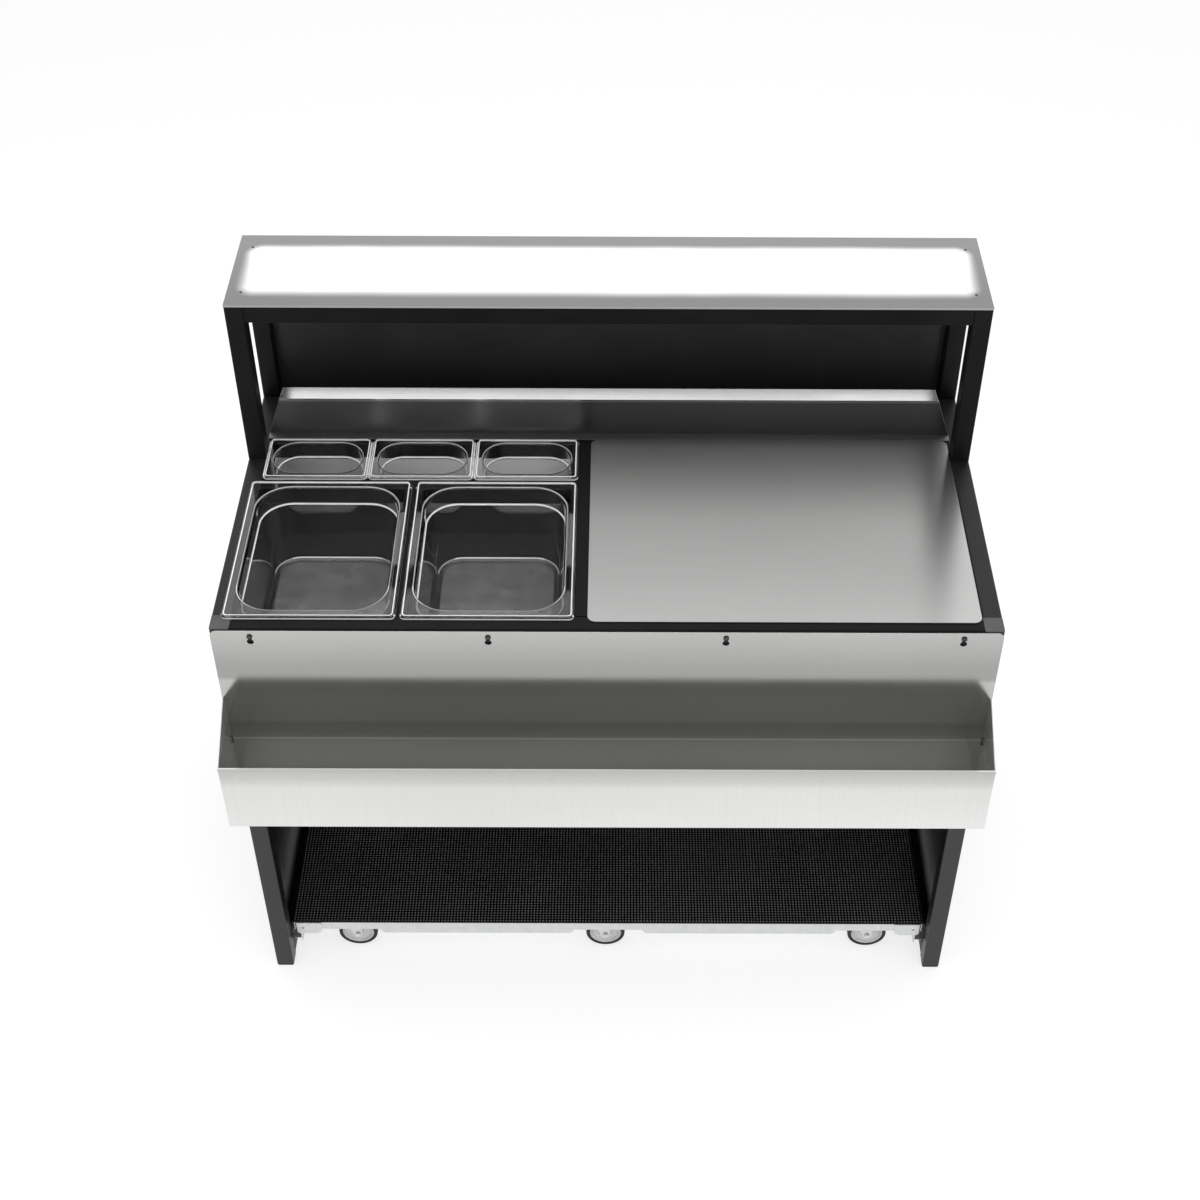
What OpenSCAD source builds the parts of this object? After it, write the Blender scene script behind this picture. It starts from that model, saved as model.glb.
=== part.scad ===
// Portable bar counter: a square-tube frame with a raised, lit bar top at the back,
// five lift-out pans and a cover plate in the counter, a bottle rail hung on the front
// and a castered base shelf. Millimetres, +Z up, X along the counter, Y from the
// bartender's side to the guests' side. Origin: centre of the footprint on the floor.

/* [Tube frame] */
// Overall width of the frame
bar_w = 1200; // [1160:10:1320]
// Depth of the frame from the counter's front face to the back
frame_d = 610; // [600:5:680]
// Height of the counter's top face
counter_h = 848; // [800:1:920]
// Outside size of the square tube
tube = 30; // [28:1:34]
// Wall of the square tube
tube_wall = 2; // [1.5:0.5:3]
// Corner radius of the square tube
tube_r = 2.5; // [1:0.5:4]
// Thickness of the glides under the legs
foot_h = 5; // [3:1:8]
// Length of the plugs that hold glides and caps in the tubes
plug_len = 14; // [8:1:20]
// Thickness of the caps on the front legs
cap_t = 2; // [1.5:0.5:3]

/* [Raised bar top] */
// Height from the counter to the underside of the lit bar top
gantry_rise = 301; // [250:1:360]
// Depth of the raised part at the back
gantry_d = 202; // [190:1:230]
// Thickness of the opal sheet
opal_t = 4; // [3:0.5:6]
// How far the opal sheet reaches past the tubes at the front
opal_lap = 1; // [0:0.5:3]
// Depth of the tray for the light strips
tray_h = 28; // [20:1:30]
// Width of a light strip
strip_w = 10; // [8:1:14]
// Number of light strips
strip_count = 3; // [1:1:4]
// Radius of the shelf bolts
screw_r = 2; // [1.5:0.25:3]
// Distance from the ends of the bar top to its screws
screw_in = 23; // [20:1:25]

/* [Counter insets] */
// Width of a large pan over its rim
large_pan_w = 265; // [240:1:270]
// Depth of a large pan, front to back, over its rim
large_pan_d = 325; // [300:1:330]
// Height of a large pan under its rim
large_pan_h = 140; // [100:5:190]
// Width of a small pan over its rim
small_pan_w = 172.5; // [150:0.5:172.5]
// Depth of a small pan, front to back, over its rim
small_pan_d = 105; // [98:1:108]
// Height of a small pan under its rim
small_pan_h = 95; // [65:5:150]
// Wall of the pans
pan_wall = 2.5; // [2:0.5:4]
// Lap of the large pans on the side tube
side_lap = 16; // [8:1:18]
// Lap of the large pans on the front rail
pan_lap = 10; // [6:1:14]
// Lap of the cover plate on the front rail
front_lap = 14; // [10:1:18]
// Gap between the two large pans
large_gap = 6; // [4:1:12]
// Gap between the large and the small pans
row_gap = 8; // [6:1:12]
// Gap between the small pans
small_gap = 1; // [0.5:0.5:3]
// Width of the divider between the pans and the covered well
divider_w = 40; // [36:1:50]
// Depth of the two wells below the tubes
well_h = 170; // [155:5:220]
// Wall of the wells
well_wall = 2; // [1.5:0.5:4]
// Sheet of the cover plate
cover_t = 2; // [1:0.5:3]
// Corner radius of the cover plate
cover_r = 13; // [5:1:20]
// Height of the stiffening channels under the cover plate
channel_h = 12; // [8:1:18]

/* [Splash ledge] */
// Height of the splash ledge above the counter
ledge_h = 74; // [50:1:100]
// Depth of its lower flange
ledge_foot = 16; // [12:1:20]
// Depth of its upper flange
ledge_top = 24; // [15:1:40]
// Rise of its upper flange towards the back, in degrees
ledge_tilt = 15; // [0:1:25]
// Inset of the upper corners on each side
ledge_slant = 25; // [10:1:40]

/* [Bottle rail] */
// Depth of the bottle trough
trough_d = 100; // [80:1:120]
// Height of the trough's front wall
trough_front_h = 137; // [100:1:170]
// Height from the trough's floor to the top of its end walls at the back
trough_side_h = 192; // [180:1:240]
// Height from the counter down to the trough's floor
trough_drop = 340; // [300:1:380]
// Sheet of the bottle rail
rail_t = 1.5; // [1:0.25:2.5]
// Height of the folded edge on the front wall
hem_h = 5; // [3:1:8]
// Radius of the big end of a keyhole
key_r = 5.2; // [5:0.1:6.5]
// Lift needed to unhook the rail
key_lift = 11; // [8:1:14]
// Radius of the stud shanks
stud_r = 2.5; // [2:0.1:3]
// Distance of the outer studs from the ends of the rail
stud_in = 60; // [40:5:90]
// Number of studs
stud_count = 4; // [2:1:4]

/* [Base shelf] */
// Height of the top of the mat
mat_top = 92; // [91:1:98]
// Thickness of the rubber mat
mat_t = 4.5; // [3:0.5:8]
// Sheet of the base shelf
shelf_t = 2; // [1.5:0.5:3]
// Height of the shelf's edge strips
edge_h = 18.5; // [14:0.5:20]
// Extra height of the aprons between the casters
apron_h = 10; // [4:1:14]
// Gap between the shelf and the side tubes
shelf_gap = 5; // [3:1:10]

/* [Casters] */
// Radius of the wheels
wheel_r = 35; // [30:0.5:35]
// Width of the wheels
wheel_w = 25; // [20:1:28]
// Distance of the wheel's centre behind its swivel axis
trail = 8; // [4:1:12]
// Thickness of the rubber tyre
tyre_t = 6.5; // [5:0.5:9]
// Radius of the wheel axles
axle_r = 4; // [3:0.5:5]
// Radius of the swivel pins
kingpin_r = 5; // [4:0.5:6]
// Distance of the end casters from the ends of the bar
caster_in = 137; // [130:1:170]
// Offset of the middle casters from the middle of the bar
caster_mid_x = -13; // [-20:1:0]
// Distance of the front casters from the front face
caster_front = 60; // [58:1:80]
// Distance of the back casters from the back face
caster_back = 80; // [76:1:110]

/* [Hidden] */

$fn = 48;
eps = 0.01;
half_w = bar_w / 2;
inner_x = half_w - tube;
back_y = frame_d;
rear_y = frame_d - tube;
under_counter = counter_h - tube;
rail_gap = 0.3;
rail_back = rail_gap + rail_t;
rail_reach = trough_d + rail_t;
front_y = (rail_reach - frame_d) / 2;
black = [0.09, 0.09, 0.095];
steel = [0.72, 0.72, 0.71];
zinc = [0.8, 0.81, 0.82];

// Raised part
gantry_y = frame_d - gantry_d;
opal_z = counter_h + gantry_rise;
gantry_rail_z = opal_z - tube;
strip_t = 1.6;
tray_t = 1.5;
screw_end = 6;
lid_screw_r = 1.5;
lid_head_r = 2.4;
screw_depth = 8;
screw_head_t = 1;
strip_end = 40;

// Pan rims, bars and wells
seat_gap = 0.5;
small_front_lap = 7;
small_lap = 10;
rim_t = 5.5;
rim_foot = 1;
rim_ease = 3.5;
lip_t = 3;
rim_corner = 9;
mouth_ease_at = 0.33;
large_shoulder = 31;
small_shoulder = 27;
shoulder_step = 1.5;
bend_r = 10;
pan_draft = 0.068;
large_mouth_r = 52;
small_mouth_r = 38;
large_x0 = -inner_x - side_lap;
large_x1 = large_x0 + 2 * large_pan_w + large_gap;
large_y1 = tube - pan_lap + large_pan_d;
small_y0 = large_y1 + row_gap;
small_y1 = small_y0 + small_pan_d;
small_x1 = large_x1;
divider_shift = 9;
divider_x = large_x1 + divider_shift;
divider_x0 = divider_x - divider_w / 2;
divider_x1 = divider_x + divider_w / 2;
cross_y = small_y0 + small_front_lap - tube / 2;
rear_bar_y = small_y1 - small_lap;
large_rim = max(pan_lap, side_lap) + seat_gap;
small_rim = max(small_front_lap, small_lap, small_x1 - divider_x0) + seat_gap;
flange_lap = 10;
well_r = 25;
well_clear = 2;
cover_lap = 9;
cover_rear_lap = 13;
cover_gap = 1.5;
cover_x0 = divider_x1 - cover_lap;
cover_x1 = inner_x - cover_gap;
cover_y1 = rear_bar_y + cover_rear_lap;
channel_w = 30;
channel_end = 40;
channel_at = 0.27;

// Splash ledge
sheet_t = 1.5;
ledge_y1 = rear_bar_y + tube;
ledge_side = 4;

// Panels
panel_t = 2;
side_panel_in = 8;
back_panel_in = 2;
side_panel_x = half_w - side_panel_in;
back_panel_y = frame_d - back_panel_in;
panel_screw_in = 8;
panel_screw_low = 58;
panel_screw_pitch = 69;

// Bottle rail
rail_drop = 4;
stud_drop = 15;
trough_z = counter_h - trough_drop;
rail_top = counter_h - rail_drop;
stud_z = counter_h - stud_drop;
stud_pitch = (bar_w - 2 * stud_in) / (stud_count - 1);
stud_head_r = key_r - 0.7;
stud_head_t = 2.5;
slot_r = stud_r + 0.3;
rail_corner = 10;
relief_w = 2.5;
relief_h = 20;
relief_z = trough_z + (trough_side_h - relief_h) / 2;

// Base shelf
deck_top = mat_top - mat_t;
deck_z = deck_top - shelf_t;
edge_y = 31.5;
shelf_x = inner_x - shelf_gap;
shelf_y1 = rear_y - 1.5;
apron_x0 = 61;
apron_gap = 52;
apron_x1 = half_w - caster_in - apron_gap;
apron_slope = 6;
bracket_t = 1.5;
bracket_w = 46;
bracket_h = 29.5;
bracket_out = 8;
toe_r = 14;
heel_r = 6;
hole_in = 11;
hole_down = 13.5;
bracket_gap = 17;
bracket_leg_x = inner_x - bracket_gap;
bracket_len = 42;
ear_lap = 9;
ear_x1 = inner_x + ear_lap;
bolt_x = inner_x + ear_lap / 2;
bolt_head_r = 4.2;
rail_low_z = foot_h;
rail_low_top = foot_h + tube;

// Casters
wheel_clear = 0.5;
axle_z = wheel_r + wheel_clear;
fork_gap = 1.5;
fork_t = 2;
fork_top_t = 2.3;
swivel_gap = 0.3;
fork_clear = 5.5;
fork_top_z = axle_z + wheel_r + fork_clear;
plate_t = 2.5;
plate_w = 60;
plate_d = 48;
race_r = 20;
pin_head_t = 1.5;
cheek_r = 8.5;
cheek_w = 30;
nut_r = 5.5;
nut_t = 3;
boss_r = 9;
boss_lip = 1;
dish = 4;
rim_ring = 3;
fit_gap = 0.05;
fork_y = wheel_w / 2 + fork_gap;
caster_x = half_w - caster_in;
caster_xs = [-caster_x, caster_mid_x, caster_x];
caster_ys = [caster_front, frame_d - caster_back];

// Square tube profile with round corners
module rounded(w, d, r) {
    square([w - 2 * r, d], center = true);
    square([w, d - 2 * r], center = true);
    for (sx = [-1, 1], sy = [-1, 1])
        translate([sx * (w / 2 - r), sy * (d / 2 - r)]) circle(r);
}

// Tube along Z, its outer corner at the given point
module tube_z(x, y, z, len, w = tube, d = tube) {
    translate([x + w / 2, y + d / 2, z])
        linear_extrude(len)
            difference() {
                rounded(w, d, tube_r);
                square([w - 2 * tube_wall, d - 2 * tube_wall], center = true);
            }
}

module tube_x(x, y, z, len) {
    translate([x, y + tube, z])
        rotate([90, 0, 90]) mirror([1, 0, 0]) tube_z(0, 0, 0, len);
}

module tube_y(x, y, z, len, w = tube) {
    translate([x, y, z + tube]) rotate([-90, 0, 0]) tube_z(0, 0, 0, len, w, tube);
}

// Y is measured back from the counter's front face inside every sub-part
module from_front() { translate([0, front_y, 0]) children(); }

module both_sides() {
    children();
    mirror([1, 0, 0]) children();
}

module front_legs() {
    color(black) from_front() both_sides()
        tube_z(inner_x, 0, foot_h, counter_h - cap_t - foot_h);
}

module rear_legs() {
    color(black) from_front() both_sides()
        tube_z(inner_x, rear_y, foot_h, opal_z - foot_h);
}

module upper_side_rails() {
    color(black) from_front() both_sides()
        tube_y(inner_x, tube, under_counter, rear_y - tube);
}

module lower_side_rails() {
    color(black) from_front() both_sides()
        tube_y(inner_x, tube, rail_low_z, rear_y - tube);
}

module counter_front_rail() {
    color(black) from_front() tube_x(-inner_x, 0, under_counter, 2 * inner_x);
}

module counter_rear_rail() {
    color(black) from_front() tube_x(-inner_x, rear_y, under_counter, 2 * inner_x);
}

module lower_rear_rail() {
    color(black) from_front() tube_x(-inner_x, rear_y, rail_low_z, 2 * inner_x);
}

module gantry_posts() {
    color(black) from_front() both_sides()
        tube_z(inner_x, gantry_y, counter_h, gantry_rise);
}

module gantry_front_rail() {
    color(black) from_front() tube_x(-inner_x, gantry_y, gantry_rail_z, 2 * inner_x);
}

module gantry_rear_rail() {
    color(black) from_front() tube_x(-inner_x, rear_y, gantry_rail_z, 2 * inner_x);
}

// Places of the four screws that hold the opal sheet
module at_panel_screws() {
    both_sides()
        for (y = [gantry_y + tube + screw_end, rear_y - screw_end])
            translate([half_w - screw_in, y, 0]) children();
}

module gantry_side_rails() {
    color(black) from_front() difference() {
        both_sides() tube_y(inner_x, gantry_y + tube, gantry_rail_z, gantry_d - 2 * tube);
        translate([0, 0, opal_z - tube_wall - 1])
            at_panel_screws() cylinder(r = lid_screw_r + fit_gap, h = tube_wall + 2);
    }
}

// Plug that fits inside a tube, hung below z = 0
module plug() {
    side = tube - 2 * tube_wall - 0.2;
    translate([0, 0, -plug_len]) linear_extrude(plug_len) difference() {
        square(side, center = true);
        square(side - 4, center = true);
    }
}

module leg_caps() {
    color(black) from_front() both_sides()
        translate([half_w - tube / 2, tube / 2, counter_h - cap_t]) {
            linear_extrude(cap_t) rounded(tube, tube, tube_r);
            plug();
        }
}

module leg_feet() {
    color([0.05, 0.05, 0.05]) from_front() both_sides()
        for (y = [tube / 2, rear_y + tube / 2])
            translate([half_w - tube / 2, y, 0]) {
                translate([0, 0, foot_h / 2]) linear_extrude(foot_h / 2)
                    rounded(tube, tube, tube_r);
                linear_extrude(foot_h / 2) rounded(tube - 2, tube - 2, tube_r);
                translate([0, 0, foot_h]) mirror([0, 0, 1]) plug();
            }
}

module side_panels() {
    color(black) from_front() both_sides()
        translate([side_panel_x - panel_t, tube, rail_low_top])
            cube([panel_t, rear_y - tube, under_counter - rail_low_top]);
}

module back_panel(z0, z1) {
    translate([-inner_x, back_panel_y - panel_t, z0])
        cube([2 * inner_x, panel_t, z1 - z0]);
}

module upper_back_panel() {
    color(black) from_front() back_panel(counter_h, gantry_rail_z);
}

module lower_back_panel() {
    color(black) from_front() back_panel(rail_low_top, under_counter);
}

// Domed screw head on the face of the back panel, pointing to the front
module screw_head(r, t) {
    rotate([90, 0, 0]) rotate_extrude()
        intersection() {
            translate([0, t - 2 * r]) circle(2 * r);
            square([r, t]);
        }
}

module panel_screws() {
    color([0.3, 0.3, 0.3]) from_front() both_sides()
        for (i = [0 : 2])
            translate([inner_x - panel_screw_in, back_panel_y - panel_t,
                       counter_h + panel_screw_low + i * panel_screw_pitch])
                screw_head(3, 1.8);
}

// Bars along X: one between the two rows of pans, one behind the small pans
module inset_cross_bars() {
    color(black) from_front() {
        tube_x(-inner_x, cross_y - tube / 2, under_counter, divider_x0 + inner_x);
        tube_x(-inner_x, rear_bar_y, under_counter, 2 * inner_x);
    }
}

// Bars along Y: one between the large pans, one between pans and covered well
module inset_long_bars() {
    middle_x = large_x0 + large_pan_w + large_gap / 2;
    color(black) from_front() {
        tube_y(divider_x0, tube, under_counter, rear_bar_y - tube, divider_w);
        tube_y(middle_x - tube / 2, tube, under_counter, cross_y - tube / 2 - tube);
    }
}

// Open bin hung under the bars, between two X and two Y faces
module well(x0, x1, y0, y1) {
    w = x1 - x0;
    d = y1 - y0;
    in_w = w + 2 * well_clear;
    in_d = d + 2 * well_clear;
    translate([(x0 + x1) / 2, (y0 + y1) / 2, under_counter]) difference() {
        union() {
            translate([0, 0, -well_wall]) linear_extrude(well_wall)
                rounded(w + 2 * flange_lap, d + 2 * flange_lap, well_r + flange_lap);
            translate([0, 0, -well_h]) linear_extrude(well_h)
                rounded(in_w + 2 * well_wall, in_d + 2 * well_wall, well_r + well_wall);
        }
        translate([0, 0, well_wall - well_h]) linear_extrude(well_h)
            rounded(in_w, in_d, well_r);
    }
}

module pan_well() {
    color([0.12, 0.12, 0.12]) from_front() well(-inner_x, divider_x0, tube, rear_bar_y);
}

module ice_well() {
    color([0.6, 0.6, 0.6]) from_front() well(divider_x1, inner_x, tube, rear_bar_y);
}

module rear_deck() {
    color(black) from_front()
        translate([-inner_x, ledge_y1, counter_h - panel_t])
            cube([2 * inner_x, rear_y - ledge_y1, panel_t]);
}

module splash_ledge() {
    low = inner_x + ledge_side;
    high = low - ledge_slant;
    color(steel) from_front() {
        translate([-low, ledge_y1 - ledge_foot, counter_h])
            cube([2 * low, ledge_foot, sheet_t]);
        translate([0, ledge_y1, counter_h]) rotate([90, 0, 0]) linear_extrude(sheet_t)
            polygon([[-low, 0], [low, 0], [high, ledge_h], [-high, ledge_h]]);
        translate([0, ledge_y1 - sheet_t, counter_h + ledge_h - sheet_t])
            rotate([ledge_tilt, 0, 0]) linear_extrude(sheet_t)
                polygon([[-high, 0], [high, 0], [high - ledge_side, ledge_top],
                         [ledge_side - high, ledge_top]]);
    }
}

module light_panel() {
    color([0.93, 0.93, 0.93, 0.9]) from_front() difference() {
        translate([-half_w, gantry_y - opal_lap, opal_z])
            cube([bar_w, gantry_d + opal_lap, opal_t]);
        translate([0, 0, opal_z - 1]) at_panel_screws() {
            cylinder(r = lid_screw_r + fit_gap, h = opal_t + 2);
            translate([0, 0, opal_t - screw_head_t + 1]) cylinder(r = lid_head_r + fit_gap, h = 2);
        }
    }
}

// Open-topped tray between the four upper tubes
module light_tray() {
    w = 2 * inner_x;
    d = gantry_d - 2 * tube;
    color([0.9, 0.9, 0.9]) from_front()
        translate([0, gantry_y + tube + d / 2, opal_z - tray_h]) difference() {
            linear_extrude(tray_h) square([w, d], center = true);
            translate([0, 0, tray_t]) linear_extrude(tray_h)
                square([w - 2 * tray_t, d - 2 * tray_t], center = true);
        }
}

module light_strips() {
    d = gantry_d - 2 * tube;
    pitch = d / strip_count;
    color([1, 1, 0.95]) from_front()
        for (i = [0 : strip_count - 1])
            translate([strip_end - inner_x, gantry_y + tube + pitch * (i + 0.5) - strip_w / 2,
                       opal_z - tray_h + tray_t])
                cube([2 * (inner_x - strip_end), strip_w, strip_t]);
}

module light_panel_screws() {
    color([0.15, 0.15, 0.15]) from_front()
        translate([0, 0, opal_z]) at_panel_screws() {
            translate([0, 0, -screw_depth])
                cylinder(r = lid_screw_r, h = screw_depth + opal_t);
            translate([0, 0, opal_t - screw_head_t]) cylinder(r = lid_head_r, h = screw_head_t);
        }
}

// Places of the studs along the front rail
module at_studs() {
    for (i = [0 : stud_count - 1])
        translate([(i - (stud_count - 1) / 2) * stud_pitch, 0, stud_z]) children();
}

module rail_studs() {
    shank = rail_back + rail_gap;
    color([0.35, 0.35, 0.35]) from_front() at_studs() {
        rotate([90, 0, 0]) cylinder(r = stud_r, h = shank + eps);
        translate([0, -shank, 0]) screw_head(stud_head_r, stud_head_t);
    }
}

// End wall of the bottle trough, in the YZ plane
module trough_end() {
    rotate([90, 0, 90]) linear_extrude(rail_t)
        polygon([[-rail_back, 0], [-trough_d, 0], [-trough_d, trough_front_h],
                 [-rail_back, trough_side_h]]);
}

module speed_rail() {
    plate_h = rail_top - trough_z;
    color(steel) from_front() {
        difference() {
            translate([0, -rail_gap, trough_z]) rotate([90, 0, 0]) linear_extrude(rail_t) {
                translate([-half_w, 0]) square([bar_w, plate_h - rail_corner]);
                translate([0, plate_h / 2]) rounded(bar_w, plate_h, rail_corner);
            }
            at_studs() rotate([90, 0, 0]) {
                cylinder(r = slot_r, h = rail_back + 1);
                translate([0, -key_lift, 0]) cylinder(r = key_r, h = rail_back + 1);
                translate([-slot_r, -key_lift, 0]) cube([2 * slot_r, key_lift, rail_back + 1]);
            }
            both_sides() translate([half_w - rail_t - relief_w, -rail_back - 1, relief_z])
                cube([relief_w, rail_back + 1, relief_h]);
        }
        translate([-half_w, -trough_d, trough_z]) cube([bar_w, trough_d - rail_gap, rail_t]);
        translate([-half_w, -trough_d, trough_z]) cube([bar_w, rail_t, trough_front_h]);
        translate([-half_w, -trough_d - rail_t, trough_z + trough_front_h - hem_h])
            cube([bar_w, rail_t, hem_h]);
        translate([-half_w, 0, trough_z]) trough_end();
        translate([half_w - rail_t, 0, trough_z]) trough_end();
    }
}

module cover_plate() {
    y0 = tube - front_lap;
    w = cover_x1 - cover_x0;
    d = cover_y1 - y0;
    color(steel) from_front() translate([(cover_x0 + cover_x1) / 2, 0, counter_h]) {
        translate([0, y0 + d / 2, 0]) linear_extrude(cover_t) rounded(w, d, cover_r);
        for (y = [y0 + d * channel_at, y0 + d * (1 - channel_at)])
            translate([0, y, -channel_h]) difference() {
                translate([channel_end - w / 2, -channel_w / 2, 0])
                    cube([w - 2 * channel_end, channel_w, channel_h]);
                translate([-w / 2, cover_t - channel_w / 2, cover_t])
                    cube([w, channel_w - 2 * cover_t, channel_h]);
            }
    }
}

// Tapered tub with a rounded bottom edge; grow swells its outline by the wall
module tub(w, d, r, top, bottom, draft, grow) {
    low_w = w - 2 * draft + 2 * grow;
    low_d = d - 2 * draft + 2 * grow;
    low_r = min(r + grow, low_d / 2 - 1);
    hull() {
        translate([0, 0, top - eps]) linear_extrude(eps)
            rounded(w + 2 * grow, d + 2 * grow, r + grow, $fn = 32);
        for (a = [0 : 30 : 90]) {
            inset = bend_r * (1 - cos(a));
            translate([0, 0, bottom + bend_r * (1 - sin(a))]) linear_extrude(eps)
                rounded(low_w - 2 * inset, low_d - 2 * inset, low_r - inset, $fn = 32);
        }
    }
}

// Rim of a pan: a flange with a turned-down lip, its outer edge eased
module pan_rim(w, d) {
    hull() {
        linear_extrude(rim_foot) rounded(w, d, rim_corner, $fn = 32);
        translate([0, 0, rim_t - eps]) linear_extrude(eps)
            rounded(w - 2 * rim_ease, d - 2 * rim_ease, rim_corner - rim_ease, $fn = 32);
    }
}

// Lift-out pan: lipped rim, round-cornered collar, stacking step and tapered body
module pan(w, d, h, rim, mouth_r, shoulder) {
    in_w = w - 2 * rim - 2 * pan_wall;
    in_d = d - 2 * rim - 2 * pan_wall;
    in_r = min(mouth_r, in_d / 2 - 0.5);
    ease = rim * mouth_ease_at;
    tub_w = in_w - 2 * shoulder_step;
    tub_d = in_d - 2 * shoulder_step;
    tub_r = in_r - shoulder_step;
    difference() {
        union() {
            pan_rim(w, d);
            translate([0, 0, -shoulder]) linear_extrude(shoulder + rim_foot)
                rounded(in_w + 2 * pan_wall, in_d + 2 * pan_wall, in_r + pan_wall);
            tub(tub_w, tub_d, tub_r, pan_wall - shoulder, -h, h * pan_draft, pan_wall);
        }
        translate([0, 0, -1]) linear_extrude(rim_t - pan_wall + 1) difference() {
            rounded(w - 2 * lip_t, d - 2 * lip_t, rim_corner - lip_t);
            rounded(in_w + 2 * pan_wall, in_d + 2 * pan_wall, in_r + pan_wall);
        }
        hull() {
            translate([0, 0, rim_t - pan_wall]) linear_extrude(eps)
                rounded(in_w, in_d, in_r, $fn = 32);
            translate([0, 0, rim_t]) linear_extrude(eps)
                rounded(in_w + 2 * ease, in_d + 2 * ease, in_r + ease, $fn = 32);
        }
        translate([0, 0, pan_wall - shoulder]) linear_extrude(shoulder + rim_t)
            rounded(in_w, in_d, in_r);
        tub(tub_w, tub_d, tub_r, pan_wall - shoulder + 1, pan_wall - h,
            h * pan_draft, 0);
    }
}

module large_pan(i) {
    x = large_x0 + large_pan_w / 2 + i * (large_pan_w + large_gap);
    color([0.8, 0.85, 0.88, 0.5]) from_front()
        translate([x, large_y1 - large_pan_d / 2, counter_h])
            pan(large_pan_w, large_pan_d, large_pan_h, large_rim, large_mouth_r, large_shoulder);
}

module small_pan(i) {
    x = small_x1 - small_pan_w / 2 - (2 - i) * (small_pan_w + small_gap);
    color([0.8, 0.85, 0.88, 0.5]) from_front()
        translate([x, small_y0 + small_pan_d / 2, counter_h])
            pan(small_pan_w, small_pan_d, small_pan_h, small_rim, small_mouth_r, small_shoulder);
}

// Edge strips around the shelf, with aprons between the casters
module shelf_edges() {
    long_x = bracket_leg_x - 0.5;
    color(zinc) from_front() {
        for (y = [edge_y, shelf_y1 - shelf_t])
            translate([0, y + shelf_t, deck_z - edge_h]) rotate([90, 0, 0])
                linear_extrude(shelf_t) {
                    translate([-long_x, 0]) square([2 * long_x, edge_h]);
                    for (s = [-1, 1])
                        polygon([[s * apron_x0, 0], [s * apron_x1, 0],
                                 [s * (apron_x1 - apron_slope), -apron_h],
                                 [s * (apron_x0 + apron_slope), -apron_h]]);
                }
        both_sides() translate([shelf_x - shelf_t, edge_y, deck_z - edge_h])
            cube([shelf_t, shelf_y1 - edge_y, edge_h]);
    }
}

module shelf_deck() {
    color(zinc) from_front() translate([-shelf_x, edge_y, deck_z])
        cube([2 * shelf_x, shelf_y1 - edge_y, shelf_t]);
}

module shelf_mat() {
    color([0.03, 0.03, 0.03]) from_front()
        translate([-shelf_x, tube, deck_top]) cube([2 * shelf_x, rear_y - tube - 3, mat_t]);
}

// Front plate of a bracket: a large round toe towards the middle, a small heel outside
module bracket_profile() {
    translate([-bracket_w, toe_r - bracket_h]) square([bracket_w, bracket_h - toe_r]);
    translate([toe_r - bracket_w, -bracket_h]) square([bracket_w - toe_r - heel_r, toe_r]);
    translate([-heel_r, heel_r - bracket_h]) square([heel_r, toe_r - heel_r]);
    translate([toe_r - bracket_w, toe_r - bracket_h]) circle(toe_r);
    translate([-heel_r, heel_r - bracket_h]) circle(heel_r);
}

// Corner bracket: front plate, side leg, and an ear that rests on the lower side tube
module bracket() {
    translate([bracket_leg_x + bracket_out, edge_y, deck_z]) rotate([90, 0, 0])
        linear_extrude(bracket_t) difference() {
            bracket_profile();
            translate([-hole_in, -hole_down]) circle(screw_r + 0.5);
        }
    translate([bracket_leg_x, edge_y - bracket_t, rail_low_top])
        cube([shelf_t, bracket_len, deck_z - rail_low_top]);
    difference() {
        translate([bracket_leg_x, edge_y + 4, rail_low_top])
            cube([ear_x1 - bracket_leg_x, bracket_len - 4 - bracket_t, shelf_t]);
        translate([bolt_x, edge_y + bracket_len / 2, rail_low_top - 1])
            cylinder(r = screw_r + 0.5, h = shelf_t + 2);
    }
}

module at_brackets() {
    both_sides() {
        children();
        translate([0, edge_y + shelf_y1, 0]) mirror([0, 1, 0]) children();
    }
}

module shelf_brackets() {
    color(zinc) from_front() at_brackets() bracket();
}

module shelf_bolts() {
    color([0.6, 0.6, 0.6]) from_front() at_brackets()
        translate([bolt_x, edge_y + bracket_len / 2, rail_low_top]) {
            cylinder(r = screw_r, h = shelf_t + eps);
            translate([0, 0, shelf_t]) rotate([-90, 0, 0]) screw_head(bolt_head_r, 2.5);
        }
}

// Centre of caster number i, counted from 0 at the front left
function caster_at(i) = [caster_xs[i % 3], caster_ys[floor(i / 3)], 0];

// Top plate, ball race and swivel pin
module caster_mount() {
    pin_z = fork_top_z - fork_top_t - swivel_gap;
    translate([-plate_w / 2, -plate_d / 2, deck_z - plate_t])
        cube([plate_w, plate_d, plate_t]);
    translate([0, 0, fork_top_z + swivel_gap])
        cylinder(r = race_r, h = deck_z - plate_t - fork_top_z - swivel_gap);
    translate([0, 0, pin_z]) cylinder(r = kingpin_r, h = deck_z - plate_t - pin_z);
    translate([0, 0, pin_z - pin_head_t]) cylinder(r = kingpin_r + 2.5, h = pin_head_t);
}

module caster_mounts() {
    color(zinc) from_front()
        for (i = [0 : 5]) translate(caster_at(i)) caster_mount();
}

// One cheek of the fork, in the XZ plane
module fork_cheek() {
    drop = fork_top_z - axle_z;
    linear_extrude(fork_t) {
        translate([trail, -drop]) circle(cheek_r);
        polygon([[-cheek_w / 2, 0], [cheek_w / 2, 0], [cheek_w / 2, -4],
                 [trail + cheek_r, -drop], [trail - cheek_r, -drop], [-cheek_w / 2, -6]]);
    }
}

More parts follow.
